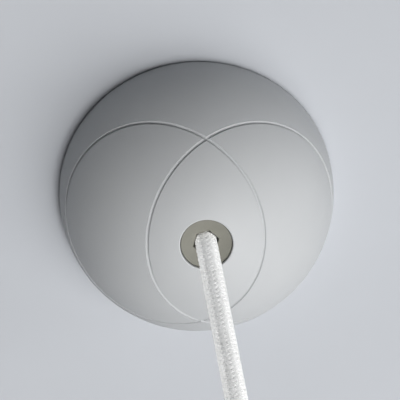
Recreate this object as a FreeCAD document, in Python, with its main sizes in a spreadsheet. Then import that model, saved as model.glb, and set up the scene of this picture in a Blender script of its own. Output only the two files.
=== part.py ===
# Ceiling rose: a domed canopy that slides down its flex from a back plate with the wiring.
# Millimetres, +Z up. The ceiling is the plane z = 0, and the flex hangs down the Z axis.
import FreeCAD, Part
import math
import os
import Sketcher

# Driving dimensions: lengths in millimetres, angles in degrees
DIMENSIONS = {
    # canopy: a half sphere on a short straight skirt
    "rim_radius": 45.0,
    "skirt_height": 4.4,
    "ceiling_gap": 0.4,
    "canopy_wall": 2.4,
    "rim_round": 0.6,
    "mouth_round": 0.35,
    "boss_radius": 12.0,
    "ledge_thickness": 1.8,
    # the two engraved rings, as seen from the centre of the sphere
    "ring_tilt": 25.6,
    "ring_half_angle": 50.7,
    "ring_groove_radius": 0.62,
    "ring_groove_step": 0.04,
    # soft bush in the canopy's mouth
    "bush_radius": 8.4,
    "bush_clearance": 0.2,
    "bush_recess": 0.9,
    "bush_flange": 2.0,
    "bush_dish": 1.8,
    "bush_neck_radius": 6.4,
    "barb_width": 1.2,
    "barb_height": 1.2,
    "bush_top_height": 2.3,
    "bush_edge_round": 0.3,
    "bush_hole_turn": 42.0,
    # flex
    "cord_radius": 3.65,
    "cord_slide_clearance": 0.2,
    "cord_drop": 158.0,
    "sleeve_wall": 0.4,
    "sleeve_fit": 0.03,
    "braid_sleeve_length": 2.5,
    "tail_sleeve_length": 9.0,
    "core_radius": 1.15,
    "core_circle": 1.6,
    "core_bend": 4.0,
    "tail_length": 24.0,
    "tail_spread": 2.4,
    "ferrule_radius": 0.95,
    "ferrule_length": 8.0,
    # back plate
    "spigot_clearance": 0.3,
    "base_thickness": 2.6,
    "ring_height": 6.0,
    "ring_wall": 1.6,
    "ring_chamfer": 0.5,
    "slot_length": 7.0,
    "slot_width": 4.4,
    "slot_edge": 10.7,
    "entry_width": 22.0,
    "entry_height": 7.0,
    "entry_edge": 1.5,
    "fence_wall": 1.4,
    "fence_height": 4.0,
    "fence_clearance": 0.2,
    "pilot_skin": 0.8,
    "pilot_clearance": 0.05,
    # folded strap
    "strap_width": 16.0,
    "strap_sheet": 1.5,
    "strap_drop": 17.5,
    "strap_half_web": 19.0,
    "strap_bend": 1.2,
    "strap_foot_edge": 1.0,
    "earth_offset": 13.2,
    "earth_screw_radius": 1.9,
    "earth_head_radius": 3.0,
    "earth_head_height": 2.2,
    "earth_screw_spare": 2.0,
    "earth_washer_radius": 3.8,
    "earth_washer_thickness": 0.8,
    # cord grip in the strap
    "grip_thread_radius": 5.0,
    "grip_fit": 0.1,
    "grip_flange_flat": 7.0,
    "grip_flange_height": 2.5,
    "grip_body_radius": 5.9,
    "grip_body_length": 8.0,
    "grip_thread_spare": 0.8,
    "grip_taper": 0.7,
    "nut_flat": 7.5,
    "nut_thickness": 2.5,
    "set_screw_radius": 1.5,
    "set_screw_stand": 1.6,
    # terminal block
    "block_gap": 4.0,
    "block_depth": 17.0,
    "block_height": 9.4,
    "block_end_wall": 1.8,
    "block_round": 1.0,
    "pole_pitch": 8.0,
    "tube_depth": 5.0,
    "tube_radius": 2.2,
    "tube_bore": 1.45,
    "tube_inset": 1.0,
    "tube_fit": 0.1,
    "turret_radius": 2.9,
    "turret_height": 2.4,
    "turret_bore": 2.05,
    "terminal_screw_pitch": 8.0,
    "terminal_screw_radius": 1.2,
    "terminal_screw_length": 4.0,
    "terminal_head_radius": 1.85,
    "terminal_head_height": 1.5,
    "block_screw_radius": 1.2,
    "block_screw_hole": 1.45,
    "block_head_radius": 2.2,
    "block_head_height": 1.6,
    # driver slots in all screw heads
    "driver_slot_width": 0.8,
    "driver_slot_depth": 0.8,
}

DOWN = FreeCAD.Vector(0, 0, -1)
FULL_TURN = 360
HEXAGON_STEP = 60
TOLERANCE = 1e-4
# an arc of a conductor takes at most this share of the shorter run beside it
ARC_SHARE = 0.45
SHEET = "dims"

doc = FreeCAD.newDocument("ceiling_rose")
sheet = doc.addObject("Spreadsheet::Sheet", SHEET)
for row, (alias, number) in enumerate(DIMENSIONS.items(), start=1):
    sheet.set(f"A{row}", alias)
    sheet.set(f"B{row}", str(number))
    sheet.setAlias(f"B{row}", alias)
doc.recompute()


class Size:
    """A value and the sheet expression that gives it, so that each formula is written once."""

    def __init__(self, value, text):
        self.value = value
        self.text = text

    def __add__(self, other):
        other = size(other)
        return Size(self.value + other.value, f"({self.text} + {other.text})")

    def __sub__(self, other):
        other = size(other)
        return Size(self.value - other.value, f"({self.text} - {other.text})")

    def __mul__(self, other):
        other = size(other)
        return Size(self.value * other.value, f"({self.text} * {other.text})")

    def __truediv__(self, other):
        other = size(other)
        return Size(self.value / other.value, f"({self.text} / {other.text})")

    def __neg__(self):
        return Size(-self.value, f"(0 - {self.text})")


def size(value):
    return value if isinstance(value, Size) else Size(value, str(value))


def dim(alias):
    return Size(float(sheet.get(alias)), f"{SHEET}.{alias}")


def root(value):
    return Size(math.sqrt(value.value), f"sqrt({value.text})")


def leg(long_side, short_side):
    """The third side of a right triangle."""
    return root(long_side * long_side - short_side * short_side)


def sine(angle):
    return Size(math.sin(math.radians(angle.value)), f"sin({angle.text})")


def cosine(angle):
    return Size(math.cos(math.radians(angle.value)), f"cos({angle.text})")


def bind(item, name, value):
    item.setExpression(name, size(value).text)


# Bodies, sketches and features
SUB_PARTS = []
CUTS = []


def new_body(label):
    body = doc.addObject("PartDesign::Body", label)
    body.Label = label
    SUB_PARTS.append(body)
    return body


def plane(body, role):
    return next(item for item in body.Origin.OriginFeatures if item.Role == role)


def new_sketch(body, name, role, offset=0):
    """A sketch on one of the body's own planes, moved along that plane's normal."""
    sketch = body.newObject("Sketcher::SketchObject", f"{body.Label}_{name}_sketch")
    sketch.AttachmentSupport = (plane(body, role), [""])
    sketch.MapMode = "FlatFace"
    bind(sketch, "AttachmentOffset.Base.z", offset)
    return sketch


def set_datum(sketch, value, kind, *place):
    index = sketch.addConstraint(Sketcher.Constraint(kind, *place, value.value))
    sketch.setExpression(f"Constraints[{index}]", value.text)


def pin(sketch, geometry, end, x, y):
    set_datum(sketch, size(x), "DistanceX", geometry, end)
    set_datum(sketch, size(y), "DistanceY", geometry, end)


def point(x, y):
    return FreeCAD.Vector(size(x).value, size(y).value, 0)


def draw_outline(sketch, corners, arcs=None):
    """A closed outline. arcs gives, for the edge after a corner, its centre and if it runs clockwise."""
    arcs = arcs or {}
    edges = []
    for index, corner in enumerate(corners):
        start = point(*corner)
        end = point(*corners[(index + 1) % len(corners)])
        if index not in arcs:
            edges.append((sketch.addGeometry(Part.LineSegment(start, end), False), 1, 2))
            continue
        centre_x, centre_y, clockwise = arcs[index]
        middle = point(centre_x, centre_y)
        circle = Part.Circle(middle, FreeCAD.Vector(0, 0, 1), (start - middle).Length)
        first, last = (end, start) if clockwise else (start, end)
        angles = [math.atan2(spot.y - middle.y, spot.x - middle.x) for spot in (first, last)]
        arc = sketch.addGeometry(Part.ArcOfCircle(circle, *angles), False)
        edges.append((arc, 2, 1) if clockwise else (arc, 1, 2))
    for index, (edge, start, end) in enumerate(edges):
        following, following_start, _ = edges[(index + 1) % len(edges)]
        sketch.addConstraint(Sketcher.Constraint("Coincident", edge, end, following, following_start))
        pin(sketch, edge, start, *corners[index])
        if index in arcs:
            set_datum(sketch, size(arcs[index][0]), "DistanceX", edge, 3)


def draw_circle(sketch, x, y, radius):
    circle = Part.Circle(point(x, y), FreeCAD.Vector(0, 0, 1), radius.value)
    geometry = sketch.addGeometry(circle, False)
    set_datum(sketch, radius, "Radius", geometry)
    pin(sketch, geometry, 3, x, y)


def draw_box(sketch, low_x, low_y, high_x, high_y):
    draw_outline(sketch, [(low_x, low_y), (high_x, low_y), (high_x, high_y), (low_x, high_y)])


def draw_slot(sketch, x, y, length, width):
    """A round-ended slot along the sketch's X axis."""
    reach = (length - width) / 2
    half = width / 2
    left, right = size(x) - reach, size(x) + reach
    low, high = size(y) - half, size(y) + half
    corners = [(left, low), (right, low), (right, high), (left, high)]
    draw_outline(sketch, corners, {1: (right, y, False), 3: (left, y, False)})


def draw_hexagon(sketch, flat, turn=0):
    """A hexagon with its flats at that distance from the middle, and a corner at that angle."""
    corner = flat / cosine(size(HEXAGON_STEP / 2))
    angles = [size(turn) + step for step in range(0, FULL_TURN, HEXAGON_STEP)]
    draw_outline(sketch, [(corner * cosine(angle), corner * sine(angle)) for angle in angles])


def revolve(body, sketch, name):
    feature = body.newObject("PartDesign::Revolution", f"{body.Label}_{name}")
    feature.Profile = sketch
    feature.ReferenceAxis = (sketch, ["V_Axis"])
    feature.Angle = FULL_TURN
    return feature


def pad(body, sketch, name, length, reverse=False, both_ways=False):
    feature = body.newObject("PartDesign::Pad", f"{body.Label}_{name}")
    feature.Profile = sketch
    bind(feature, "Length", length)
    feature.Reversed = reverse
    if both_ways:
        feature.SideType = "Symmetric"
    return feature


def pocket(body, sketch, name, length=None, reverse=False):
    """A cut against the sketch's normal, or along it if reversed; through all without a length."""
    feature = body.newObject("PartDesign::Pocket", f"{body.Label}_{name}")
    feature.Profile = sketch
    feature.Reversed = reverse
    if length is None:
        feature.Type = "ThroughAll"
    else:
        bind(feature, "Length", length)
    CUTS.append(feature)
    return feature


def edges_where(feature, test):
    return [f"Edge{number}" for number, edge in enumerate(feature.Shape.Edges, start=1) if test(edge)]


def is_ring(radius, height):
    """A test for a round edge about the Z axis, of that radius and at that height."""

    def test(edge):
        box = edge.BoundBox
        flat = abs(box.ZMin - height.value) < TOLERANCE and abs(box.ZMax - height.value) < TOLERANCE
        if not flat or not isinstance(edge.Curve, Part.Circle):
            return False
        return abs(edge.Curve.Radius - radius.value) < TOLERANCE

    return test


def is_fold(x, z):
    """A test for a straight edge along Y at that distance either side of the middle."""

    def test(edge):
        box = edge.BoundBox
        along_y = box.XLength < TOLERANCE and box.ZLength < TOLERANCE
        return along_y and abs(abs(box.XMin) - x.value) < TOLERANCE and abs(box.ZMin - z.value) < TOLERANCE

    return test


def dress(body, kind, name, base, tests, value):
    """A fillet or chamfer on the edges that pass one of the tests."""
    doc.recompute()
    names = [edge for test in tests for edge in edges_where(base, test)]
    if not names:
        raise RuntimeError(f"{body.Label}: no edge found for {name}")
    feature = body.newObject(f"PartDesign::{kind}", f"{body.Label}_{name}")
    feature.Base = (base, names)
    bind(feature, "Radius" if kind == "Fillet" else "Size", value)
    return feature


# Places that several pieces share
rim_radius = dim("rim_radius")
inner_radius = rim_radius - dim("canopy_wall")
rim_z = -dim("ceiling_gap")
dome_z = rim_z - dim("skirt_height")
apex_z = dome_z - rim_radius

mouth_radius = dim("bush_radius") + dim("bush_clearance")
mouth_z = dome_z - leg(rim_radius, mouth_radius)
bush_face_z = mouth_z + dim("bush_recess")
ledge_z = bush_face_z + dim("bush_flange")
boss_z = ledge_z + dim("ledge_thickness")
neck_hole_radius = dim("bush_neck_radius") + dim("bush_clearance")
bush_hole_flat = dim("cord_radius") + dim("cord_slide_clearance")

base_radius = inner_radius - dim("spigot_clearance")
base_inner = base_radius - dim("ring_wall")
under_z = -dim("base_thickness")
slot_x = base_inner - dim("slot_edge")
entry_y = -(base_inner - dim("entry_edge") - dim("entry_height") / 2)

web_z = under_z - dim("strap_drop")
web_top_z = web_z + dim("strap_sheet")
nut_top_z = web_top_z + dim("nut_thickness")
thread_top_z = nut_top_z + dim("grip_thread_spare")
flange_low_z = web_z - dim("grip_flange_height")
grip_low_z = flange_low_z - dim("grip_body_length")
set_screw_z = flange_low_z - dim("grip_body_length") / 2
grip_bore = dim("cord_radius") + dim("grip_fit")

cord_top_z = thread_top_z + dim("braid_sleeve_length")
cord_end_z = apex_z - dim("cord_drop")

block_front_y = -(dim("strap_width") / 2 + dim("block_gap"))
block_back_y = block_front_y - dim("block_depth")
block_y = (block_front_y + block_back_y) / 2
block_low_z = under_z - dim("block_height")
block_half = dim("pole_pitch") + dim("tube_radius") + dim("block_end_wall")
tube_z = under_z - dim("tube_depth")
turret_low_z = block_low_z - dim("turret_height")
POLES = (("live", -1), ("earth", 0), ("neutral", 1))
CORE_ANGLES = {"live": 150, "earth": 270, "neutral": 30}
SCREW_SIDES = (("flex", 1), ("supply", -1))


def cut_ring(body, name, side, depth):
    """Engraves a circle on the sphere: a small round turned about an axis that leans to that side."""
    reach = dim("ring_tilt") + dim("ring_half_angle")
    sketch = new_sketch(body, name, "XZ_Plane")
    draw_circle(sketch, rim_radius * sine(reach) * side, dome_z - rim_radius * cosine(reach), depth)
    lean_x = rim_radius * sine(dim("ring_tilt")) * side
    lean_z = dome_z - rim_radius * cosine(dim("ring_tilt"))
    axis = sketch.addGeometry(Part.LineSegment(point(0, dome_z), point(lean_x, lean_z)), True)
    pin(sketch, axis, 1, 0, dome_z)
    pin(sketch, axis, 2, lean_x, lean_z)
    groove = body.newObject("PartDesign::Groove", f"{body.Label}_{name}_groove")
    groove.Profile = sketch
    groove.ReferenceAxis = (sketch, ["Axis0"])
    groove.Angle = FULL_TURN
    CUTS.append(groove)


def build_canopy():
    """Moulded dome: skirt, half sphere, stepped mouth with an inner boss, two engraved rings."""
    body = new_body("canopy")
    boss_foot_z = dome_z - leg(inner_radius, dim("boss_radius"))
    profile = new_sketch(body, "shell", "XZ_Plane")
    corners = [
        (rim_radius, rim_z),
        (rim_radius, dome_z),
        (mouth_radius, mouth_z),
        (mouth_radius, ledge_z),
        (neck_hole_radius, ledge_z),
        (neck_hole_radius, boss_z),
        (dim("boss_radius"), boss_z),
        (dim("boss_radius"), boss_foot_z),
        (inner_radius, dome_z),
        (inner_radius, rim_z),
    ]
    draw_outline(profile, corners, {1: (0, dome_z, True), 7: (0, dome_z, False)})
    shell = revolve(body, profile, "shell")
    rim_edges = [is_ring(rim_radius, rim_z), is_ring(inner_radius, rim_z)]
    rim = dress(body, "Fillet", "rim_round", shell, rim_edges, dim("rim_round"))
    dress(body, "Fillet", "mouth_round", rim, [is_ring(mouth_radius, mouth_z)], dim("mouth_round"))

    # two grooves of one depth would meet bottom to bottom, so the second one is a little shallower
    depth = dim("ring_groove_radius")
    cut_ring(body, "left_ring", -1, depth)
    cut_ring(body, "right_ring", 1, depth - dim("ring_groove_step"))


def build_bush():
    """Soft bush: dished face in the mouth, neck through the ledge, barb behind it, six-sided hole."""
    body = new_body("cord_bush")
    neck = dim("bush_neck_radius")
    barb = neck + dim("barb_width")
    barb_top_z = boss_z + dim("barb_height")
    profile = new_sketch(body, "turning", "XZ_Plane")
    draw_outline(
        profile,
        [
            (0, bush_face_z + dim("bush_dish")),
            (dim("bush_radius"), bush_face_z),
            (dim("bush_radius"), ledge_z),
            (neck, ledge_z),
            (neck, boss_z),
            (barb, boss_z),
            (barb, barb_top_z),
            (neck, barb_top_z + dim("bush_top_height")),
            (0, barb_top_z + dim("bush_top_height")),
        ],
    )
    turning = revolve(body, profile, "turning")
    face_edge = [is_ring(dim("bush_radius"), bush_face_z)]
    dress(body, "Fillet", "face_round", turning, face_edge, dim("bush_edge_round"))
    hole = new_sketch(body, "hole", "XY_Plane")
    draw_hexagon(hole, bush_hole_flat, dim("bush_hole_turn"))
    pocket(body, hole, "hole")


def build_base_plate():
    """Moulded back plate: centring ring, two screw slots, cable entry, fence for the terminal block."""
    body = new_body("base_plate")
    profile = new_sketch(body, "plate", "XZ_Plane")
    ring_z = -dim("ring_height")
    draw_outline(
        profile,
        [
            (0, 0),
            (0, under_z),
            (base_inner, under_z),
            (base_inner, ring_z),
            (base_radius, ring_z),
            (base_radius, 0),
        ],
    )
    plate = revolve(body, profile, "plate")
    lead_in = [is_ring(base_radius, ring_z)]
    dress(body, "Chamfer", "lead_in", plate, lead_in, dim("ring_chamfer"))

    slots = new_sketch(body, "slots", "XY_Plane")
    for side in (-1, 1):
        draw_slot(slots, slot_x * side, 0, dim("slot_length"), dim("slot_width"))
    draw_slot(slots, 0, entry_y, dim("entry_width"), dim("entry_height"))
    pocket(body, slots, "slots")

    fence = new_sketch(body, "fence", "XY_Plane", under_z)
    fence_x = block_half + dim("fence_clearance")
    for side in (-1, 1):
        edges = sorted([fence_x * side, (fence_x + dim("fence_wall")) * side], key=lambda edge: edge.value)
        draw_box(fence, edges[0], block_back_y, edges[1], block_front_y)
    pad(body, fence, "fence", dim("fence_height"), reverse=True)

    pilots = new_sketch(body, "pilots", "XY_Plane", under_z)
    for side in (-1, 1):
        pilot_radius = dim("block_screw_radius") + dim("pilot_clearance")
        draw_circle(pilots, dim("pole_pitch") / 2 * side, block_y, pilot_radius)
    pocket(body, pilots, "pilots", dim("base_thickness") - dim("pilot_skin"), reverse=True)


def build_strap():
    """Folded steel strap: two slotted feet under the plate and a web that carries the cord grip."""
    body = new_body("hanger_bracket")
    sheet_thickness = dim("strap_sheet")
    outer = dim("strap_half_web")
    inner = outer - sheet_thickness
    foot = leg(base_inner - dim("strap_foot_edge"), dim("strap_width") / 2)
    foot_low_z = under_z - sheet_thickness
    right = [
        (foot, under_z),
        (foot, foot_low_z),
        (outer, foot_low_z),
        (outer, web_z),
    ]
    inside = [(inner, web_top_z), (inner, under_z)]
    left = [(-x, z) for x, z in reversed(right)]
    inside_left = [(-x, z) for x, z in reversed(inside)]
    profile = new_sketch(body, "fold", "XZ_Plane")
    draw_outline(profile, right + left + inside_left + inside)
    fold = pad(body, profile, "fold", dim("strap_width"), both_ways=True)
    tight = [is_fold(outer, foot_low_z), is_fold(inner, web_top_z)]
    bends = dress(body, "Fillet", "inner_bends", fold, tight, dim("strap_bend"))
    wide = [is_fold(inner, under_z), is_fold(outer, web_z)]
    dress(body, "Fillet", "outer_bends", bends, wide, dim("strap_bend") + sheet_thickness)

    holes = new_sketch(body, "holes", "XY_Plane")
    for side in (-1, 1):
        draw_slot(holes, slot_x * side, 0, dim("slot_length"), dim("slot_width"))
    draw_circle(holes, 0, 0, dim("grip_thread_radius") + dim("grip_fit"))
    draw_circle(holes, dim("earth_offset"), 0, dim("earth_screw_radius") + dim("pilot_clearance"))
    pocket(body, holes, "holes")


def build_cord_grip():
    """Moulded grip: thread through the web, six-sided flange under it, body with a pinching screw."""
    body = new_body("cord_grip")
    thread = dim("grip_thread_radius")
    barrel = dim("grip_body_radius")
    profile = new_sketch(body, "turning", "XZ_Plane")
    draw_outline(
        profile,
        [
            (0, grip_low_z),
            (barrel - dim("grip_taper"), grip_low_z),
            (barrel, grip_low_z + dim("grip_taper")),
            (barrel, web_z),
            (thread, web_z),
            (thread, thread_top_z),
            (0, thread_top_z),
        ],
    )
    revolve(body, profile, "turning")
    flange = new_sketch(body, "flange", "XY_Plane", web_z)
    draw_hexagon(flange, dim("grip_flange_flat"))
    pad(body, flange, "flange", dim("grip_flange_height"), reverse=True)
    bore = new_sketch(body, "bore", "XY_Plane")
    draw_circle(bore, 0, 0, grip_bore)
    pocket(body, bore, "bore")
    tapping = new_sketch(body, "tapping", "YZ_Plane")
    draw_circle(tapping, 0, set_screw_z, dim("set_screw_radius") + dim("pilot_clearance"))
    pocket(body, tapping, "tapping", barrel, reverse=True)


def build_lock_nut():
    body = new_body("grip_lock_nut")
    outline = new_sketch(body, "outline", "XY_Plane", web_top_z)
    draw_hexagon(outline, dim("nut_flat"), HEXAGON_STEP / 2)
    draw_circle(outline, 0, 0, dim("grip_thread_radius") + dim("grip_fit"))
    pad(body, outline, "outline", dim("nut_thickness"))


def build_terminal_block():
    """Moulded three-pole block: a tube in each pole, a screw turret over each end of each tube."""
    body = new_body("terminal_block")
    outline = new_sketch(body, "outline", "XY_Plane", under_z)
    draw_box(outline, -block_half, block_back_y, block_half, block_front_y)
    block = pad(body, outline, "outline", dim("block_height"), reverse=True)

    def is_corner(edge):
        box = edge.BoundBox
        return box.XLength < TOLERANCE and box.YLength < TOLERANCE

    dress(body, "Fillet", "corners", block, [is_corner], dim("block_round"))
    screw_y = dim("terminal_screw_pitch") / 2
    turrets = new_sketch(body, "turrets", "XY_Plane", block_low_z)
    wells = new_sketch(body, "wells", "XY_Plane", turret_low_z)
    for _, place in POLES:
        for _, side in SCREW_SIDES:
            draw_circle(turrets, dim("pole_pitch") * place, block_y + screw_y * side, dim("turret_radius"))
            draw_circle(wells, dim("pole_pitch") * place, block_y + screw_y * side, dim("turret_bore"))
    pad(body, turrets, "turrets", dim("turret_height"), reverse=True)
    pocket(body, wells, "wells", tube_z - turret_low_z, reverse=True)
    bores = new_sketch(body, "bores", "XZ_Plane")
    for _, place in POLES:
        draw_circle(bores, dim("pole_pitch") * place, tube_z, dim("tube_radius") + dim("tube_fit"))
    pocket(body, bores, "bores", -block_back_y + dim("block_gap"), reverse=True)
    fixings = new_sketch(body, "fixings", "XY_Plane")
    for side in (-1, 1):
        draw_circle(fixings, dim("pole_pitch") / 2 * side, block_y, dim("block_screw_hole"))
    pocket(body, fixings, "fixings")


def build_terminal_tube(name, place):
    """Brass tube along Y with two tapped holes from below."""
    body = new_body(f"terminal_tube_{name}")
    x = dim("pole_pitch") * place
    section = new_sketch(body, "section", "XZ_Plane", -block_front_y + dim("tube_inset"))
    draw_circle(section, x, tube_z, dim("tube_radius"))
    draw_circle(section, x, tube_z, dim("tube_bore"))
    pad(body, section, "section", dim("block_depth") - dim("tube_inset") * 2)
    tappings = new_sketch(body, "tappings", "XY_Plane", tube_z)
    for _, side in SCREW_SIDES:
        y = block_y + dim("terminal_screw_pitch") / 2 * side
        draw_circle(tappings, x, y, dim("terminal_screw_radius") + dim("pilot_clearance"))
    pocket(body, tappings, "tappings", dim("tube_radius"))


def cylinder(name, radius, height):
    item = doc.addObject("Part::Cylinder", name)
    bind(item, "Radius", radius)
    bind(item, "Height", height)
    return item


def move_to(item, x, y, z):
    for axis, value in zip("xyz", (x, y, z)):
        bind(item, f"Placement.Base.{axis}", value)


def cut(name, base, tool):
    item = doc.addObject("Part::Cut", name)
    item.Base = base
    item.Tool = tool
    return item


def tube(label, outer, inner, low_z, high_z):
    """A straight sleeve on the Z axis."""
    outside = cylinder(f"{label}_outside", outer, high_z - low_z)
    inside = cylinder(f"{label}_inside", inner, high_z - low_z)
    sleeve = cut(label, outside, inside)
    sleeve.Label = label
    move_to(sleeve, 0, 0, low_z)
    SUB_PARTS.append(sleeve)


def slotted_screw(name, head_radius, head_height, shank_radius, shank_length):
    """A screw that points up from the underside of its head, with a driver slot below."""
    shank = cylinder(f"{name}_shank", shank_radius, shank_length + head_height / 2)
    move_to(shank, 0, 0, -head_height / 2)
    head = cylinder(f"{name}_head", head_radius, head_height)
    move_to(head, 0, 0, -head_height)
    whole = doc.addObject("Part::Fuse", f"{name}_whole")
    whole.Base = head
    whole.Tool = shank
    return driver_slot(name, whole, head_radius, -head_height)


def driver_slot(name, base, radius, low_z):
    blade = doc.addObject("Part::Box", f"{name}_blade")
    bind(blade, "Length", radius * 4)
    bind(blade, "Width", dim("driver_slot_width"))
    bind(blade, "Height", dim("driver_slot_depth") * 2)
    move_to(blade, -radius * 2, -dim("driver_slot_width") / 2, low_z - dim("driver_slot_depth"))
    return cut(name, base, blade)


def group(label, items):
    """Separate solids that share one node."""
    item = doc.addObject("Part::Compound", label)
    item.Links = items
    item.Label = label
    SUB_PARTS.append(item)


def build_terminal_screws():
    screws = []
    for pole, pole_place in POLES:
        for end, side in SCREW_SIDES:
            name = f"terminal_screw_{pole}_{end}"
            screw = slotted_screw(
                name,
                dim("terminal_head_radius"),
                dim("terminal_head_height"),
                dim("terminal_screw_radius"),
                dim("terminal_screw_length"),
            )
            # a flex-side screw bears on its ferrule, a supply-side one leaves the tube open
            tip = dim("ferrule_radius") if end == "flex" else dim("tube_bore")
            y = block_y + dim("terminal_screw_pitch") / 2 * side
            move_to(screw, dim("pole_pitch") * pole_place, y, tube_z - tip - dim("terminal_screw_length"))
            screws.append(screw)
    group("terminal_screws", screws)


def build_block_screws():
    screws = []
    for name, side in (("left", -1), ("right", 1)):
        screw = slotted_screw(
            f"block_screw_{name}",
            dim("block_head_radius"),
            dim("block_head_height"),
            dim("block_screw_radius"),
            -block_low_z - dim("pilot_skin"),
        )
        move_to(screw, dim("pole_pitch") / 2 * side, block_y, block_low_z)
        screws.append(screw)
    group("block_screws", screws)


def build_earth_screw():
    washer_low_z = web_z - dim("earth_washer_thickness")
    outside = cylinder("earth_washer_outside", dim("earth_washer_radius"), dim("earth_washer_thickness"))
    washer_hole = dim("earth_screw_radius") + dim("pilot_clearance")
    washer = cut(
        "earth_washer", outside, cylinder("earth_washer_hole", washer_hole, dim("earth_washer_thickness"))
    )
    screw = slotted_screw(
        "earth_screw",
        dim("earth_head_radius"),
        dim("earth_head_height"),
        dim("earth_screw_radius"),
        dim("earth_washer_thickness") + dim("strap_sheet") + dim("earth_screw_spare"),
    )
    for item in (washer, screw):
        item.Label = item.Name
        move_to(item, dim("earth_offset"), 0, washer_low_z)
        SUB_PARTS.append(item)


def build_set_screw():
    """Headless screw along X whose tip bears on the flex."""
    length = dim("grip_body_radius") + dim("set_screw_stand") - grip_bore
    shank = cylinder("grip_set_screw_shank", dim("set_screw_radius"), length)
    screw = driver_slot("grip_set_screw", shank, dim("set_screw_radius"), size(0))
    screw.Label = screw.Name
    # the slotted end points outwards along +X
    screw.Placement.Rotation = FreeCAD.Rotation(FreeCAD.Vector(0, 1, 0), -90)
    move_to(screw, grip_bore + length, 0, set_screw_z)
    SUB_PARTS.append(screw)


def build_cord():
    flex = cylinder("cord", dim("cord_radius"), cord_top_z - cord_end_z)
    flex.Label = "cord"
    move_to(flex, 0, 0, cord_end_z)
    SUB_PARTS.append(flex)
    sleeve_inner = dim("cord_radius") + dim("sleeve_fit")
    sleeve_outer = sleeve_inner + dim("sleeve_wall")
    tube("braid_sleeve", sleeve_outer, sleeve_inner, thread_top_z, cord_top_z)
    tube("tail_sleeve", sleeve_outer, sleeve_inner, cord_end_z, cord_end_z + dim("tail_sleeve_length"))


def solid_feature(label, shape):
    """A sub-part whose shape is made here from the sheet's values."""
    item = doc.addObject("Part::Feature", label)
    item.Label = label
    item.Shape = shape
    SUB_PARTS.append(item)


def bent_wire(points, bend):
    """Straight runs joined by arcs of that radius, or of the largest that the runs leave room for."""
    edges = []
    start = points[0]
    for before, corner, after in zip(points, points[1:], points[2:]):
        to_before = (before - corner).normalize()
        to_after = (after - corner).normalize()
        half_turn = (math.pi - to_before.getAngle(to_after)) / 2
        shorter = min((before - corner).Length, (after - corner).Length)
        radius = min(bend, ARC_SHARE * shorter / math.tan(half_turn))
        tangent = radius * math.tan(half_turn)
        first = corner + to_before * tangent
        last = corner + to_after * tangent
        inwards = (to_before + to_after).normalize()
        middle = corner + inwards * (radius / math.cos(half_turn) - radius)
        edges.append(Part.LineSegment(start, first).toShape())
        edges.append(Part.Arc(first, middle, last).toShape())
        start = last
    edges.append(Part.LineSegment(start, points[-1]).toShape())
    return Part.Wire(edges)


def core_solid(points, bend):
    radius = dim("core_radius").value
    path = bent_wire(points, bend)
    section = Part.Wire(Part.makeCircle(radius, points[0], points[1] - points[0]))
    return path.makePipeShell([section], True, False)


def build_cores():
    """The three conductors, from the flex's inner end to the tubes and out of its far end."""
    pitch = dim("pole_pitch").value
    insert_y = (block_front_y - dim("tube_inset") - dim("core_radius")).value
    bend = dim("core_bend").value
    lift = FreeCAD.Vector(0, 0, (tube_z - cord_top_z).value)
    ferrule = (dim("ferrule_radius").value, dim("ferrule_length").value)
    inner_ferrules = []
    tail_ferrules = []
    turn_y = -(dim("strap_width") / 2).value
    for name, side in POLES:
        angle = math.radians(CORE_ANGLES[name])
        offset = FreeCAD.Vector(math.cos(angle), math.sin(angle), 0) * dim("core_circle").value
        start = offset + FreeCAD.Vector(0, 0, cord_top_z.value)
        end = FreeCAD.Vector(pitch * side, insert_y, tube_z.value)
        route = [start, start + lift]
        if side:
            route.append(FreeCAD.Vector(end.x, turn_y, end.z))
        route.append(end)
        solid_feature(f"{name}_core", core_solid(route, bend))
        inner_ferrules.append(Part.makeCylinder(*ferrule, end, FreeCAD.Vector(0, -1, 0)))

        spread = offset * dim("tail_spread").value
        reach = dim("tail_length").value
        tail_start = offset + FreeCAD.Vector(0, 0, cord_end_z.value)
        tail = [
            tail_start,
            tail_start + DOWN * (reach / 5),
            spread + FreeCAD.Vector(0, 0, cord_end_z.value) + DOWN * (reach * 3 / 5),
            spread + FreeCAD.Vector(0, 0, cord_end_z.value) + DOWN * reach,
        ]
        solid_feature(f"tail_{name}_core", core_solid(tail, reach))
        tail_ferrules.append(Part.makeCylinder(*ferrule, tail[-1], DOWN))
    solid_feature("core_ferrules", Part.makeCompound(inner_ferrules))
    solid_feature("tail_ferrules", Part.makeCompound(tail_ferrules))


build_canopy()
build_bush()
build_base_plate()
build_strap()
build_cord_grip()
build_lock_nut()
build_set_screw()
build_terminal_block()
for pole_name, pole_side in POLES:
    build_terminal_tube(pole_name, pole_side)
build_terminal_screws()
build_block_screws()
build_earth_screw()
build_cord()
build_cores()
doc.recompute()

# Nothing is written unless every object is sound and every cut took material away
for item in doc.Objects:
    if "Invalid" in item.State or "Error" in item.State:
        raise RuntimeError(f"{item.Name} did not build: {item.State}")
for feature in CUTS:
    base = feature.BaseFeature.Shape.Volume
    if not base - feature.Shape.Volume > TOLERANCE:
        raise RuntimeError(f"{feature.Name} cuts nothing")
for item in SUB_PARTS:
    if item.Shape.isNull() or not item.Shape.isValid():
        raise RuntimeError(f"{item.Label} has no sound shape")

os.makedirs("parts", exist_ok=True)
for item in SUB_PARTS:
    item.Shape.exportStep(f"parts/{item.Label}.step")
    print(item.Label, len(item.Shape.Solids), round(item.Shape.Volume, 1))
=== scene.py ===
# %% [markdown]
# A ceiling rose hides the wiring where a lamp hangs from a ceiling. This lesson dresses one that was
# modelled as solids: a domed canopy, a soft bush, and a braided flex that runs through it to a plate
# with terminals. The solids keep their shape and place. Here they get their finishes, the flex gets
# its braid, and a camera and lamps show it as it hangs.

# %% Load the frame
import math
import bpy
from mathutils import Matrix, Vector


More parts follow.
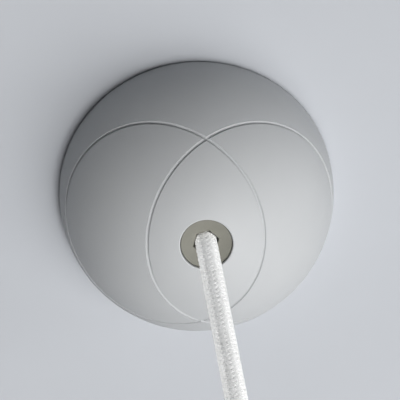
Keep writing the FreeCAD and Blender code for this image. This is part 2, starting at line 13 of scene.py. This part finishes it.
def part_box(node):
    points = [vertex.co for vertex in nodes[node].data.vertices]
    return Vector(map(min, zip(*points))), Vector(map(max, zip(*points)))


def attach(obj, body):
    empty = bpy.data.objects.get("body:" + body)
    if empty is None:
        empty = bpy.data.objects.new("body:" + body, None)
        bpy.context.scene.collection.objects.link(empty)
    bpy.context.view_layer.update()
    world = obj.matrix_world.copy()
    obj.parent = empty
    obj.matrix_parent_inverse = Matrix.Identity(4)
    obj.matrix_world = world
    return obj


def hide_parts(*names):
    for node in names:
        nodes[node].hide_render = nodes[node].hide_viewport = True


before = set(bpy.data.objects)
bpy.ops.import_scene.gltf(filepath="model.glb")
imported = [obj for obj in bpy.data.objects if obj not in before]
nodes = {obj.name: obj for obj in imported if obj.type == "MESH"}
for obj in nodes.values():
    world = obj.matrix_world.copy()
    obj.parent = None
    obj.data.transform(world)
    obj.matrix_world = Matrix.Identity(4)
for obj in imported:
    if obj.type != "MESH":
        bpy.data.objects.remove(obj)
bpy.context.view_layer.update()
scene = bpy.context.scene
scene.view_settings.view_transform = "Standard"
MM = 0.001

# %% [markdown]
# The rose is looked at from nearly straight below and from far away, so lines that are parallel stay
# almost parallel. A long lens at three metres does that. The camera could be aimed by hand, but three
# directions say it better: to the right of the picture, up the picture, and back towards the viewer.
# The tilt is the angle between the flex and the line of sight, and the roll turns the whole picture.

# %% Camera
RIM_HEIGHT = -0.4 * MM
VIEW_DISTANCE = 3.0
PICTURE_WIDTH = 131.5 * MM
PICTURE_PIXELS = 400
RIM_CENTRE_PIXEL = (195.75, 188.95)
VIEW_TURN = math.radians(11.7)
VIEW_TILT = math.radians(22.4)
VIEW_ROLL = math.radians(11.0)
SENSOR_MM = 36.0
UP = Vector((0, 0, 1))

across = Vector((math.cos(VIEW_TURN), -math.sin(VIEW_TURN), 0))
ahead = Vector((-math.sin(VIEW_TURN), -math.cos(VIEW_TURN), 0))
rise = math.cos(VIEW_TILT) * ahead + math.sin(VIEW_TILT) * UP
picture_right = math.cos(VIEW_ROLL) * across - math.sin(VIEW_ROLL) * rise
picture_up = math.sin(VIEW_ROLL) * across + math.cos(VIEW_ROLL) * rise
towards_viewer = picture_right.cross(picture_up)

pixel = PICTURE_WIDTH / PICTURE_PIXELS
shift_right = (PICTURE_PIXELS / 2 - RIM_CENTRE_PIXEL[0]) * pixel
shift_up = (RIM_CENTRE_PIXEL[1] - PICTURE_PIXELS / 2) * pixel
eye = Vector((0, 0, RIM_HEIGHT)) + VIEW_DISTANCE * towards_viewer
eye += shift_right * picture_right + shift_up * picture_up

camera_data = bpy.data.cameras.new("camera")
camera_data.sensor_width = SENSOR_MM
camera_data.lens = SENSOR_MM * VIEW_DISTANCE / PICTURE_WIDTH
camera = bpy.data.objects.new("camera", camera_data)
turn = Matrix((picture_right, picture_up, towards_viewer)).transposed()
camera.matrix_world = Matrix.Translation(eye) @ turn.to_4x4()
scene.collection.objects.link(camera)
scene.camera = camera
print("camera at", [round(x, 3) for x in eye], "lens", round(camera_data.lens), "mm")

# %% [markdown]
# The light comes from the lower right of the picture, and it is very soft: the dome shades gradually
# from one rim to the other and throws only a blurred shadow on the ceiling. A lamp as wide as a window
# gives that. A floor sends some of the light straight back up, which a second lamp below the rose
# stands for, and a third grazes the ceiling from the right and brightens that edge of the dome. One
# more hangs above the ceiling and is there for views of the back. Lamps are hidden from the camera, so
# that they may stand between it and the rose.

# %% Lamps of the room
LAMP_FOCUS = Vector((0, 0, -40 * MM))
ROOM_LAMP_DISTANCE = 1.6


def soft_lamp(name, direction, distance, width, watts):
    """Adds a square lamp in that direction from the rose, facing it."""
    data = bpy.data.lights.new(name, "AREA")
    data.size = width
    data.energy = watts
    lamp = bpy.data.objects.new(name, data)
    lamp.location = LAMP_FOCUS + distance * direction.normalized()
    lamp.rotation_mode = "QUATERNION"
    lamp.rotation_quaternion = direction.to_track_quat("Z", "Y")
    lamp.visible_camera = False
    scene.collection.objects.link(lamp)
    return lamp


def below(turn_deg, drop_deg):
    """A direction, turned from the picture's right towards its foot and dropped from level."""
    turned, dropped = math.radians(turn_deg), math.radians(drop_deg)
    side = math.cos(turned) * across - math.sin(turned) * ahead
    return math.cos(dropped) * side - math.sin(dropped) * UP


room_lamps = [
    soft_lamp("window_lamp", below(50, 56), ROOM_LAMP_DISTANCE, width=1.6, watts=21.3),
    soft_lamp("floor_lamp", below(35, 84), ROOM_LAMP_DISTANCE, width=0.5, watts=13.0),
    soft_lamp("side_lamp", below(5, 5), ROOM_LAMP_DISTANCE, width=0.5, watts=5.6),
]
soft_lamp("back_lamp", Vector((0.4, 0.5, 1.0)), distance=1.5, width=1.0, watts=14)
print("lamps of the room:", [lamp.name for lamp in room_lamps])

# %% [markdown]
# Every finish below is built from nodes. A few small helpers keep that readable. The first turns the
# hex value of a colour, as a paint chart gives it, into the linear numbers that shaders add and
# multiply. The second adds a node, types in its values and links what feeds it. The other two use it
# for what is needed most: a piece of arithmetic, and a mix of two colours.

# %% Helpers for nodes


def linear(hex_colour):
    """The linear colour of an sRGB hex value."""
    channels = [int(hex_colour[i : i + 2], 16) / 255 for i in (1, 3, 5)]
    return [c / 12.92 if c <= 0.04045 else ((c + 0.055) / 1.055) ** 2.4 for c in channels] + [1.0]


def add(tree, kind, values=None, links=None, **settings):
    """Adds a node with its settings, typed values and links. As a link, a node is its first output."""
    node = tree.nodes.new(kind)
    for name, setting in settings.items():
        setattr(node, name, setting)
    for socket, value in (values or {}).items():
        node.inputs[socket].default_value = value
    for socket, source in (links or {}).items():
        output = source.outputs[0] if hasattr(source, "outputs") else source
        tree.links.new(output, node.inputs[socket])
    return node


def calc(tree, operation, *terms):
    """Adds a Math node. Each term is a number to type in, or the node or socket that feeds it."""
    values = {i: term for i, term in enumerate(terms) if isinstance(term, (int, float))}
    links = {i: term for i, term in enumerate(terms) if i not in values}
    return add(tree, "ShaderNodeMath", values, links, operation=operation)


def mixed(tree, first, second, factor):
    """Adds a mix of two hex colours and gives its result."""
    colours = {"A": linear(first), "B": linear(second)}
    node = add(tree, "ShaderNodeMix", colours, {"Factor": factor}, data_type="RGBA")
    return node.outputs["Result"]


print("white is", linear("#FFFFFF")[:3], "and middle grey is", round(linear("#808080")[0], 3))

# %% [markdown]
# The world has two jobs, and one background can't do both. As a light it is a faint bluish sky that
# fills the dark side. As a backdrop it is plain pale paper behind the rose in views past the ceiling.
# A ray knows what it is for: rays from the camera, and those that metal mirrors, see the paper, and all
# others see the sky.

# %% Sky and backdrop
SKY_COLOUR = "#EEF7FF"
SKY_STRENGTH = 0.01
PAPER_STRENGTH = 0.62

world = bpy.data.worlds.new("sky")
scene.world = world
world.use_nodes = True
tree = world.node_tree
tree.nodes.clear()
rays = add(tree, "ShaderNodeLightPath").outputs
mirrored = calc(tree, "MAXIMUM", rays["Is Glossy Ray"], rays["Is Transmission Ray"])
shown = calc(tree, "MAXIMUM", rays["Is Camera Ray"], mirrored)
fill_values = {"Color": linear(SKY_COLOUR), "Strength": SKY_STRENGTH}
fill = add(tree, "ShaderNodeBackground", fill_values)
paper = add(tree, "ShaderNodeBackground", {"Strength": PAPER_STRENGTH})
sky = add(tree, "ShaderNodeMixShader", links={0: shown, 1: fill, 2: paper})
add(tree, "ShaderNodeOutputWorld", links={"Surface": sky})
print("sky:", SKY_COLOUR, "backdrop strength:", PAPER_STRENGTH)

# %% [markdown]
# Most of the rose is moulded plastic. Up close such a surface is never one flat colour: the mould
# leaves a fine grain, the colour drifts a little where the plastic cooled, and the gloss varies with
# the grain. All three come from noise on Object coordinates, so they stay put when a piece moves. Each
# noise is sized by a real length in millimetres.

# %% Recipe for moulded plastic
GLOSS_SPREAD = 0.06


def new_finish(name, **sockets):
    """A new material, its node tree and its main shader with constant sockets set."""
    material = bpy.data.materials.new(name)
    material.use_nodes = True
    tree = material.node_tree
    shader = tree.nodes["Principled BSDF"]
    for socket, value in sockets.items():
        shader.inputs[socket.replace("_", " ")].default_value = value
    return material, tree, shader


def noise(tree, place, size_mm, **sockets):
    """Adds a noise whose features are about that size."""
    return add(
        tree, "ShaderNodeTexNoise", {"Scale": 1 / (size_mm * MM), **sockets}, {"Vector": place}
    )


def moulded(name, pale, deep, grain_mm, depth_mm, roughness, drift_mm=18.0, **sockets):
    """Plastic from a mould: a colour that drifts between two shades, and a grain that catches light."""
    material, tree, shader = new_finish(name, **sockets)
    place = add(tree, "ShaderNodeTexCoord").outputs["Object"]
    drift = noise(tree, place, drift_mm, Detail=3.0, Roughness=0.55)
    tree.links.new(mixed(tree, pale, deep, drift), shader.inputs["Base Color"])
    grain = noise(tree, place, grain_mm, Detail=2.0, Roughness=0.6)
    gloss = add(
        tree,
        "ShaderNodeMapRange",
        {"To Min": roughness - GLOSS_SPREAD, "To Max": roughness + GLOSS_SPREAD},
        {"Value": grain},
    )
    tree.links.new(gloss.outputs[0], shader.inputs["Roughness"])
    relief = add(
        tree, "ShaderNodeBump", {"Strength": 1.0, "Distance": depth_mm * MM}, {"Height": grain}
    )
    tree.links.new(relief.outputs[0], shader.inputs["Normal"])
    return material


def dress(finishes):
    """Gives each finish to the solids that are listed for it."""
    for material, names in finishes.items():
        for name in names:
            nodes[name].material_slots[0].material = material


print("finishes so far:", len(bpy.data.materials))

# %% [markdown]
# Each plastic is one call of that recipe, with its two shades, the size and depth of its grain and its
# roughness. Spark-eroded moulds leave ABS dull and even, so the dome has no highlight, only a soft fall
# of light. The bush is a dry elastomer with a faint mottle, polypropylene is slightly waxy, nylon is
# cream, and terminal blocks are a whiter, smoother polyamide. Shrink sleeve takes up the bumps of what
# it holds.

# %% Finishes of moulded plastic
canopy_abs = moulded(
    "moulded_matt_abs", "#BEC0C1", "#B9BBBD", grain_mm=0.9, depth_mm=0.012, roughness=0.62, IOR=1.5
)
bush_elastomer = moulded(
    "moulded_elastomer", "#807F76", "#75746B", 1.1, 0.02, roughness=0.72, drift_mm=4.0, IOR=1.48
)
base_polypropylene = moulded(
    "moulded_polypropylene", "#E9E9E4", "#E0E0DA", 0.8, 0.012, roughness=0.5, IOR=1.49
)
grip_nylon = moulded(
    "natural_nylon", "#EBE7DA", "#DFDAC9", 0.7, 0.008, roughness=0.38, drift_mm=6.0, IOR=1.53
)
block_polyamide = moulded(
    "smooth_polyamide", "#F0F0EB", "#E6E6DF", 0.6, 0.005, roughness=0.3, drift_mm=8.0, IOR=1.53
)
sleeve_polyolefin = moulded(
    "shrunk_polyolefin", "#DEDEDB", "#D3D3D0", 1.4, 0.06, roughness=0.45, drift_mm=5.0, IOR=1.49
)
brown_pvc = moulded(
    "extruded_brown_pvc", "#5A3420", "#4B2A19", 0.9, 0.006, roughness=0.34, drift_mm=9.0, IOR=1.53
)
blue_pvc = moulded(
    "extruded_blue_pvc", "#24529C", "#1C4386", 0.9, 0.006, roughness=0.34, drift_mm=9.0, IOR=1.53
)

moulded_nodes = {
    canopy_abs: ["canopy"],
    bush_elastomer: ["cord_bush"],
    base_polypropylene: ["base_plate"],
    grip_nylon: ["cord_grip", "grip_lock_nut", "grip_set_screw"],
    block_polyamide: ["terminal_block"],
    sleeve_polyolefin: ["braid_sleeve", "tail_sleeve"],
    brown_pvc: ["live_core", "tail_live_core"],
    blue_pvc: ["neutral_core", "tail_neutral_core"],
}
dress(moulded_nodes)
print("moulded finishes:", [material.name for material in moulded_nodes])

# %% [markdown]
# The earth conductor is marked by two colours at once, a yellow stripe on green, and both stripes run
# along the wire. Its two lengths lie in the plane through the middle of the rose, so the distance from
# that plane says which stripe a point is on. That is simpler than unwrapping the bent wire.

# %% Earth conductor
STRIPE_EDGE = 0.62 * MM
STRIPE_BLUR = 0.03 * MM

earth_pvc, tree, shader = new_finish("striped_earth_pvc", Roughness=0.36, IOR=1.53)
place = add(tree, "ShaderNodeTexCoord").outputs["Object"]
sideways = add(tree, "ShaderNodeSeparateXYZ", links={0: place}).outputs["X"]
stripe = add(
    tree,
    "ShaderNodeMapRange",
    {"From Min": STRIPE_EDGE - STRIPE_BLUR, "From Max": STRIPE_EDGE + STRIPE_BLUR},
    {"Value": calc(tree, "ABSOLUTE", sideways)},
)
tree.links.new(mixed(tree, "#3F8A2E", "#E4CC2C", stripe), shader.inputs["Base Color"])
dress({earth_pvc: ["earth_core", "tail_earth_core"]})
print("striped:", earth_pvc.name)

# %% [markdown]
# The strap and screws are zinc plated, the terminal tubes are turned from brass and the ferrules are
# tinned copper. Bare metal gets nearly all its look from what it mirrors, so the patterns go into how
# it mirrors: a cloudy roughness for plating, fine rings for turned brass, short bands for a crimp.

# %% Finishes of metal
# A wave texture repeats after this length, times its scale.
WAVE_REPEAT = math.tau / 20


def plated(name, pale, deep, cloud_mm, smoothest, dullest):
    """Plated metal, cloudy in colour and in gloss."""
    material, tree, shader = new_finish(name, Metallic=1.0)
    place = add(tree, "ShaderNodeTexCoord").outputs["Object"]
    cloud = noise(tree, place, cloud_mm, Detail=4.0)
    tree.links.new(mixed(tree, pale, deep, cloud), shader.inputs["Base Color"])
    gloss = add(
        tree, "ShaderNodeMapRange", {"To Min": smoothest, "To Max": dullest}, {"Value": cloud}
    )
    tree.links.new(gloss.outputs[0], shader.inputs["Roughness"])
    return material


def ringed(name, colour, spacing_mm, depth_mm, direction, roughness):
    """Turned or crimped metal: rings across the piece, at that spacing along an axis."""
    material, tree, shader = new_finish(
        name, Metallic=1.0, Roughness=roughness, Base_Color=linear(colour)
    )
    place = add(tree, "ShaderNodeTexCoord").outputs["Object"]
    rings = add(
        tree,
        "ShaderNodeTexWave",
        {"Scale": WAVE_REPEAT / (spacing_mm * MM), "Distortion": 0.4},
        {"Vector": place},
        bands_direction=direction,
    )
    relief = add(
        tree, "ShaderNodeBump", {"Distance": depth_mm * MM}, {"Height": rings.outputs["Fac"]}
    )
    tree.links.new(relief.outputs[0], shader.inputs["Normal"])
    return material


zinc_steel = plated(
    "zinc_plated_steel", "#B4B8BC", "#979BA1", cloud_mm=5.0, smoothest=0.36, dullest=0.58
)
turned_brass = ringed(
    "turned_brass", "#CBA65C", spacing_mm=0.35, depth_mm=0.01, direction="Y", roughness=0.24
)
hanging_ferrule = ringed(
    "crimped_tinned_copper", "#C9C8C3", spacing_mm=1.1, depth_mm=0.05, direction="Z", roughness=0.3
)
level_ferrule = ringed(
    "crimped_tinned_copper_level", "#C9C8C3", 1.1, 0.05, direction="Y", roughness=0.3
)
metal_nodes = {
    zinc_steel: [
        "hanger_bracket",
        "earth_screw",
        "earth_washer",
        "terminal_screws",
        "block_screws",
    ],
    turned_brass: ["terminal_tube_live", "terminal_tube_earth", "terminal_tube_neutral"],
    hanging_ferrule: ["tail_ferrules"],
    level_ferrule: ["core_ferrules"],
}
dress(metal_nodes)
print("metal finishes:", [material.name for material in metal_nodes])

# %% [markdown]
# The flex is pulled straight by the lamp that it carries. Its route is a NURBS spline with a few
# control points in line. The braid could be painted on a tube as a bump, but its crossing threads show
# along both edges, so they are real threads. They follow points that are read from the spline.

# %% Route of the flex
cord_low, cord_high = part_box("cord")
cord_top, cord_end = cord_high[2], cord_low[2]
cord_length = cord_top - cord_end
cord_diameter = cord_high[0] - cord_low[0]
ROUTE_POINTS = 4
ROUTE_ORDER = 3

route = bpy.data.curves.new("cord_route", "CURVE")
route.dimensions = "3D"
spline = route.splines.new("NURBS")
spline.points.add(ROUTE_POINTS - 1)
for index, point in enumerate(spline.points):
    point.co = (0, 0, cord_top - cord_length * index / (ROUTE_POINTS - 1), 1)
spline.order_u = ROUTE_ORDER
spline.use_endpoint_u = True
route_object = bpy.data.objects.new("cord_route", route)
route_mesh = bpy.data.meshes.new_from_object(route_object)
route_line = [v.co.copy() for v in route_mesh.vertices]
bpy.data.objects.remove(route_object)
print("flex:", round(cord_length / MM, 1), "mm long,", len(route_line), "points on its route")

# %% [markdown]
# A braiding machine has two sets of bobbins that run round the flex in opposite directions. Each
# carries a few threads side by side, passes over one bobbin of the other set and under the next. So
# every thread is a helix whose radius swells and shrinks, and the swelling depends only on the angle
# round the flex: right-hand threads are on top at even columns, left-hand ones at odd columns. One
# Geometry Nodes tree copies the route once for each thread and moves its points to that helix.

# %% Braid tree
SWELL = 0.26 * MM
THREAD_RADIUS = 0.33 * MM
BRAID_INPUTS = [
    ("Geometry", "NodeSocketGeometry", None),
    ("Bobbins", "NodeSocketInt", 8),
    ("Threads", "NodeSocketInt", 3),
    ("Lay", "NodeSocketFloat", 29.0 * MM),
    ("Start angle", "NodeSocketFloat", math.radians(16)),
    ("Radius", "NodeSocketFloat", cord_diameter / 2 - SWELL - THREAD_RADIUS),
    ("Swell", "NodeSocketFloat", SWELL),
    ("Thread radius", "NodeSocketFloat", THREAD_RADIUS),
    ("Sheath radius", "NodeSocketFloat", cord_diameter / 2 - 2 * SWELL - THREAD_RADIUS),
    ("Steps", "NodeSocketInt", 380),
    ("Thread finish", "NodeSocketMaterial", None),
    ("Sheath finish", "NodeSocketMaterial", None),
]
braid = bpy.data.node_groups.new("braided_flex", "GeometryNodeTree")
braid_socket = {}
for name, kind, default in BRAID_INPUTS:
    socket = braid.interface.new_socket(name, in_out="INPUT", socket_type=kind)
    braid_socket[name] = socket.identifier
braid.interface.new_socket("Geometry", in_out="OUTPUT", socket_type="NodeSocketGeometry")
given = add(braid, "NodeGroupInput").outputs

line = add(braid, "GeometryNodeMeshToCurve", links={"Mesh": given["Geometry"]})
steps = add(braid, "GeometryNodeResampleCurve", links={"Curve": line, "Count": given["Steps"]})
one_way = calc(braid, "MULTIPLY", given["Bobbins"], given["Threads"])
both_ways = calc(braid, "MULTIPLY", one_way, 2.0)
copies = add(
    braid,
    "GeometryNodeDuplicateElements",
    links={"Geometry": steps, "Amount": both_ways},
    domain="SPLINE",
)
number = copies.outputs["Duplicate Index"]
print("braid inputs:", [name for name, kind, default in BRAID_INPUTS if default])

# %% [markdown]
# The number of a copy says which thread it is. An even number runs right-handed and an odd one
# left-handed. Half of it, counted round the bobbins, is its bobbin, and what is left is its place among
# the threads of that bobbin.

# %% Angle of each thread
odd = calc(braid, "MODULO", number, 2.0)
hand = calc(braid, "MULTIPLY_ADD", odd, -2.0, 1.0)
pair = calc(braid, "FLOOR", calc(braid, "MULTIPLY", number, 0.5))
share = calc(braid, "DIVIDE", pair, given["Bobbins"])
bobbin_turn = calc(braid, "FRACT", share)
row = calc(braid, "FLOOR", share)
to_middle = calc(braid, "MULTIPLY_ADD", given["Threads"], -0.5, 0.5)
row_from_middle = calc(braid, "ADD", row, to_middle)
thread_turn = calc(braid, "DIVIDE", row_from_middle, one_way)

travel = add(braid, "GeometryNodeSplineParameter").outputs["Length"]
laid = calc(braid, "DIVIDE", travel, given["Lay"])
wound = calc(braid, "MULTIPLY", laid, hand)
bobbin_angle = calc(braid, "ADD", wound, bobbin_turn)
turns = calc(braid, "ADD", bobbin_angle, thread_turn)
angle = calc(braid, "MULTIPLY_ADD", turns, math.tau, given["Start angle"])
print("nodes up to the angle:", len(braid.nodes))

# %% [markdown]
# A thread crosses the middle of the other set half its own offset away from its bobbin's crossing.
# Counted from there, a cosine that is steepened and clipped keeps it flat while it lies on top, as a
# real thread does.

# %% Swell of each thread
STEEPNESS = 1.5
half_back = calc(braid, "MULTIPLY_ADD", thread_turn, -0.5, turns)
columns = calc(braid, "MULTIPLY", half_back, given["Bobbins"])
phase = calc(braid, "MULTIPLY", columns, math.tau)
wave = calc(braid, "COSINE", phase)
steep = calc(braid, "MULTIPLY", wave, STEEPNESS)
clipped = add(braid, "ShaderNodeClamp", {"Min": -1.0, "Max": 1.0}, {"Value": steep})
over = calc(braid, "MULTIPLY", clipped, hand)
radius = calc(braid, "MULTIPLY_ADD", over, given["Swell"], given["Radius"])
outwards = add(
    braid,
    "ShaderNodeVectorRotate",
    links={
        "Vector": add(braid, "GeometryNodeInputNormal"),
        "Axis": add(braid, "GeometryNodeInputTangent"),
        "Angle": angle,
    },
    rotation_type="AXIS_ANGLE",
)
offset = add(
    braid, "ShaderNodeVectorMath", links={0: outwards, "Scale": radius}, operation="SCALE"
)
print("nodes up to the offset:", len(braid.nodes))

# %% [markdown]
# Before the points move, each thread stores how far along it they are and a tone of its own, and the
# round section that is swept along it stores its side. The finish reads these to draw the twist of the
# yarn. The sheath under the braid closes the small holes between threads.

# %% Threads and sheath
THREAD_SIDES = 5
SHEATH_SIDES = 40
TONE_SEED = 7


def store(name, geometry, value, data_type):
    """Stores a value on the points of a geometry, under a name that a finish can read."""
    return add(
        braid,
        "GeometryNodeStoreNamedAttribute",
        {"Name": name},
        {"Geometry": geometry, "Value": value},
        data_type=data_type,
        domain="POINT",
    )


def circle(sides, radius):
    """Adds a round section."""
    return add(
        braid, "GeometryNodeCurvePrimitiveCircle", {"Resolution": sides}, {"Radius": radius}
    )


def swept(curve, section, finish):
    """Sweeps a section along a curve, closes both ends and gives it a finish."""
    mesh = add(
        braid,
        "GeometryNodeCurveToMesh",
        {"Fill Caps": True},
        {"Curve": curve, "Profile Curve": section},
    )
    return add(braid, "GeometryNodeSetMaterial", links={"Geometry": mesh, "Material": finish})


tone = add(
    braid, "FunctionNodeRandomValue", {"Seed": TONE_SEED}, {"ID": number}, data_type="FLOAT"
)
toned = store("thread_tone", copies, tone.outputs[1], "FLOAT")
measured = store("thread_length", toned, travel, "FLOAT")
threads = add(braid, "GeometryNodeSetPosition", links={"Geometry": measured, "Offset": offset})
thread_section = store(
    "thread_side",
    circle(THREAD_SIDES, given["Thread radius"]),
    add(braid, "GeometryNodeInputPosition"),
    "FLOAT_VECTOR",
)
yarn = swept(threads, thread_section, given["Thread finish"])
sheath = swept(line, circle(SHEATH_SIDES, given["Sheath radius"]), given["Sheath finish"])
whole = add(braid, "GeometryNodeJoinGeometry", links={"Geometry": yarn})
braid.links.new(sheath.outputs[0], whole.inputs["Geometry"])
smooth = add(braid, "GeometryNodeSetShadeSmooth", {"Shade Smooth": True}, {"Geometry": whole})
plain = add(braid, "GeometryNodeRealizeInstances", links={"Geometry": smooth})
add(braid, "NodeGroupOutput", links={"Geometry": plain})
print("nodes in the braid tree:", len(braid.nodes))

# %% [markdown]
# The yarn is bright white rayon. It is two fine plies twisted together, so each thread has slanting
# ridges. Rayon is smooth and has a silky sheen along its edges. The side and length that the tree
# stored give the slant of the ridges.

# %% Finish of the braid
PLY_COUNT = 2
TWIST_LENGTH = 2.4 * MM
RIDGE_DEPTH = 0.06 * MM
RIDGE_STRENGTH = 0.3

yarn_rayon, tree, shader = new_finish(
    "braided_white_rayon", Roughness=0.6, IOR=1.5, Sheen_Weight=1.0, Sheen_Roughness=0.35
)
side = add(tree, "ShaderNodeAttribute", attribute_name="thread_side").outputs["Vector"]
length = add(tree, "ShaderNodeAttribute", attribute_name="thread_length").outputs["Fac"]
thread_tone = add(tree, "ShaderNodeAttribute", attribute_name="thread_tone").outputs["Fac"]
axes = add(tree, "ShaderNodeSeparateXYZ", links={0: side}).outputs
round_angle = calc(tree, "ARCTAN2", axes["Y"], axes["X"])
twist = calc(tree, "MULTIPLY_ADD", length, math.tau / TWIST_LENGTH, round_angle)
plies = calc(tree, "MULTIPLY", twist, PLY_COUNT)
ridge = calc(tree, "COSINE", plies)
ridge_values = {"Strength": RIDGE_STRENGTH, "Distance": RIDGE_DEPTH}
relief = add(tree, "ShaderNodeBump", ridge_values, {"Height": ridge})
tree.links.new(relief.outputs[0], shader.inputs["Normal"])
tree.links.new(mixed(tree, "#FFFFFE", "#F8F8F6", thread_tone), shader.inputs["Base Color"])

sheath_pvc = moulded(
    "extruded_white_pvc", "#E4E4E2", "#DADAD8", 0.9, 0.006, roughness=0.45, drift_mm=9.0, IOR=1.53
)
print("flex finishes:", yarn_rayon.name, "over", sheath_pvc.name)

# %% [markdown]
# Where the flex is cut, its end faces straight down, and clean white would shine there. The end sits
# inside the shrunk sleeve, where shade falls, so the last fraction of a millimetre of both finishes
# gets a painted shade: a dull grey that stands in for that shade and is not a colour of the flex.

# %% Cut end of the flex
# Painted shade: this grey darkens the cut end of the flex in place of shade inside the sleeve.
END_SHADE_COLOUR = "#77746B"
END_SHADE_DEPTH = 0.2 * MM


def paint_end_shade(material, along, start, stop):
    """Mixes a painted shade colour into a finish where a length along the piece passes start and stop.
    """
    tree = material.node_tree
    colour = tree.nodes["Principled BSDF"].inputs["Base Color"]
    unshaded_colour = colour.links[0].from_socket
    shade_share = add(
        tree, "ShaderNodeMapRange", {"From Min": start, "From Max": stop}, {"Value": along}
    )
    end_shaded = add(
        tree,
        "ShaderNodeMix",
        {"B": linear(END_SHADE_COLOUR)},
        {"A": unshaded_colour, "Factor": shade_share},
        data_type="RGBA",
    )
    tree.links.new(end_shaded.outputs["Result"], colour)


# Painted shade on the cut ends of the yarn and of the sheath.
paint_end_shade(yarn_rayon, length, cord_length - END_SHADE_DEPTH, cord_length - END_SHADE_DEPTH / 2)
tree = sheath_pvc.node_tree
place = add(tree, "ShaderNodeTexCoord").outputs["Object"]
height = add(tree, "ShaderNodeSeparateXYZ", links={0: place}).outputs["Z"]
paint_end_shade(sheath_pvc, height, cord_end + END_SHADE_DEPTH, cord_end + END_SHADE_DEPTH / 2)
# Prints how far the painted shade reaches from the cut end.
print("glue on the last", round(END_SHADE_DEPTH / MM, 1), "mm")

# %% [markdown]
# The tree runs on a mesh of the route. Its result is turned into a plain mesh, because the export knows
# no instances, and the flex is built with its real length and diameter. It replaces the plain cylinder,
# which is hidden.

# %% Flex
path_mesh = bpy.data.meshes.new("cord_path")
path_mesh.from_pydata(route_line, [(i, i + 1) for i in range(len(route_line) - 1)], [])
path_object = bpy.data.objects.new("cord_path", path_mesh)
scene.collection.objects.link(path_object)
weaver = path_object.modifiers.new("braid", "NODES")
weaver.node_group = braid
for name, kind, default in BRAID_INPUTS:
    if default is not None:
        weaver[braid_socket[name]] = default
weaver[braid_socket["Thread finish"]] = yarn_rayon
weaver[braid_socket["Sheath finish"]] = sheath_pvc

depsgraph = bpy.context.evaluated_depsgraph_get()
woven = path_object.evaluated_get(depsgraph)
flex_mesh = bpy.data.meshes.new_from_object(woven, depsgraph=depsgraph)
bpy.data.objects.remove(path_object)
flex = bpy.data.objects.new("braided_flex", flex_mesh)
scene.collection.objects.link(flex)

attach(flex, "fixed_rose")
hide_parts("cord")
flex_mesh.calc_loop_triangles()
print("flex triangles:", len(flex_mesh.loop_triangles))

# %% [markdown]
# White yarn beside a grey dome needs light of its own. Light linking gives it that: a lamp can be told
# which objects it lights and which ones block it. The lamps of the room leave the flex out both ways,
# so it throws no hard shadow on the dome. Four more lamps light the flex alone, from every side, and
# the strongest stands on the right, where the window is.

# %% Lamps of the flex
FLEX_LAMP_DISTANCE = 1.2
FLEX_LAMP_WIDTH = 0.5
FLEX_LAMP_DROP_DEG = 45
# The turn of each lamp in degrees, and its watts.
FLEX_LAMPS = {
    "flex_front_lamp": (-80, 6.1),
    "flex_left_lamp": (160, 9.2),
    "flex_right_lamp": (0, 10.3),
    "flex_back_lamp": (75, 3.6),
}
flex_lamps = [
    soft_lamp(
        name, below(turn_deg, FLEX_LAMP_DROP_DEG), FLEX_LAMP_DISTANCE, FLEX_LAMP_WIDTH, watts
    )
    for name, (turn_deg, watts) in FLEX_LAMPS.items()
]
for state, lamps in (("EXCLUDE", room_lamps), ("INCLUDE", flex_lamps)):
    linked = bpy.data.collections.new("flex_" + state.lower())
    linked.objects.link(flex)
    linked.collection_objects[0].light_linking.link_state = state
    for lamp in lamps:
        lamp.light_linking.receiver_collection = linked
        if state == "EXCLUDE":
            lamp.light_linking.blocker_collection = linked

# %% [markdown]
# The stage is a plain painted ceiling. It has a hole as wide as the back plate, as a ceiling has over
# its box, which lets a lamp above light the back. Seen from above, the ceiling would hide the rose, so
# its upper side is clear to the camera and to nothing else.

# %% Ceiling
CEILING_RADIUS = 0.9
CEILING_SIDES = 128
plate_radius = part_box("base_plate")[1][0]
side_angles = [math.tau * i / CEILING_SIDES for i in range(CEILING_SIDES)]
rim_points = [
    (rim_radius * math.cos(side_angle), rim_radius * math.sin(side_angle), 0)
    for rim_radius in (plate_radius, CEILING_RADIUS)
    for side_angle in side_angles
]
ring_faces = [
    (i, (i + 1) % CEILING_SIDES, CEILING_SIDES + (i + 1) % CEILING_SIDES, CEILING_SIDES + i)
    for i in range(CEILING_SIDES)
]
ceiling_mesh = bpy.data.meshes.new("ceiling")
ceiling_mesh.from_pydata(rim_points, [], ring_faces)
ceiling = bpy.data.objects.new("ceiling", ceiling_mesh)
scene.collection.objects.link(ceiling)

# Rolled paint on plaster leaves a very shallow, wide dimple and no gloss.
ceiling_paint = moulded(
    "painted_plaster", "#C1C4C9", "#BDC0C5", 6.0, 0.02, roughness=0.85, drift_mm=60.0, IOR=1.4
)
tree = ceiling_paint.node_tree
above = add(tree, "ShaderNodeNewGeometry").outputs["Backfacing"]
seen = add(tree, "ShaderNodeLightPath").outputs["Is Camera Ray"]
hidden = calc(tree, "MULTIPLY", above, seen)
clear = add(tree, "ShaderNodeBsdfTransparent")
paint_or_clear = add(
    tree, "ShaderNodeMixShader", links={0: hidden, 1: tree.nodes["Principled BSDF"], 2: clear}
)
tree.links.new(paint_or_clear.outputs[0], tree.nodes["Material Output"].inputs["Surface"])
ceiling_mesh.materials.append(ceiling_paint)
print("ceiling faces down:", ceiling_mesh.polygons[0].normal.z < 0)
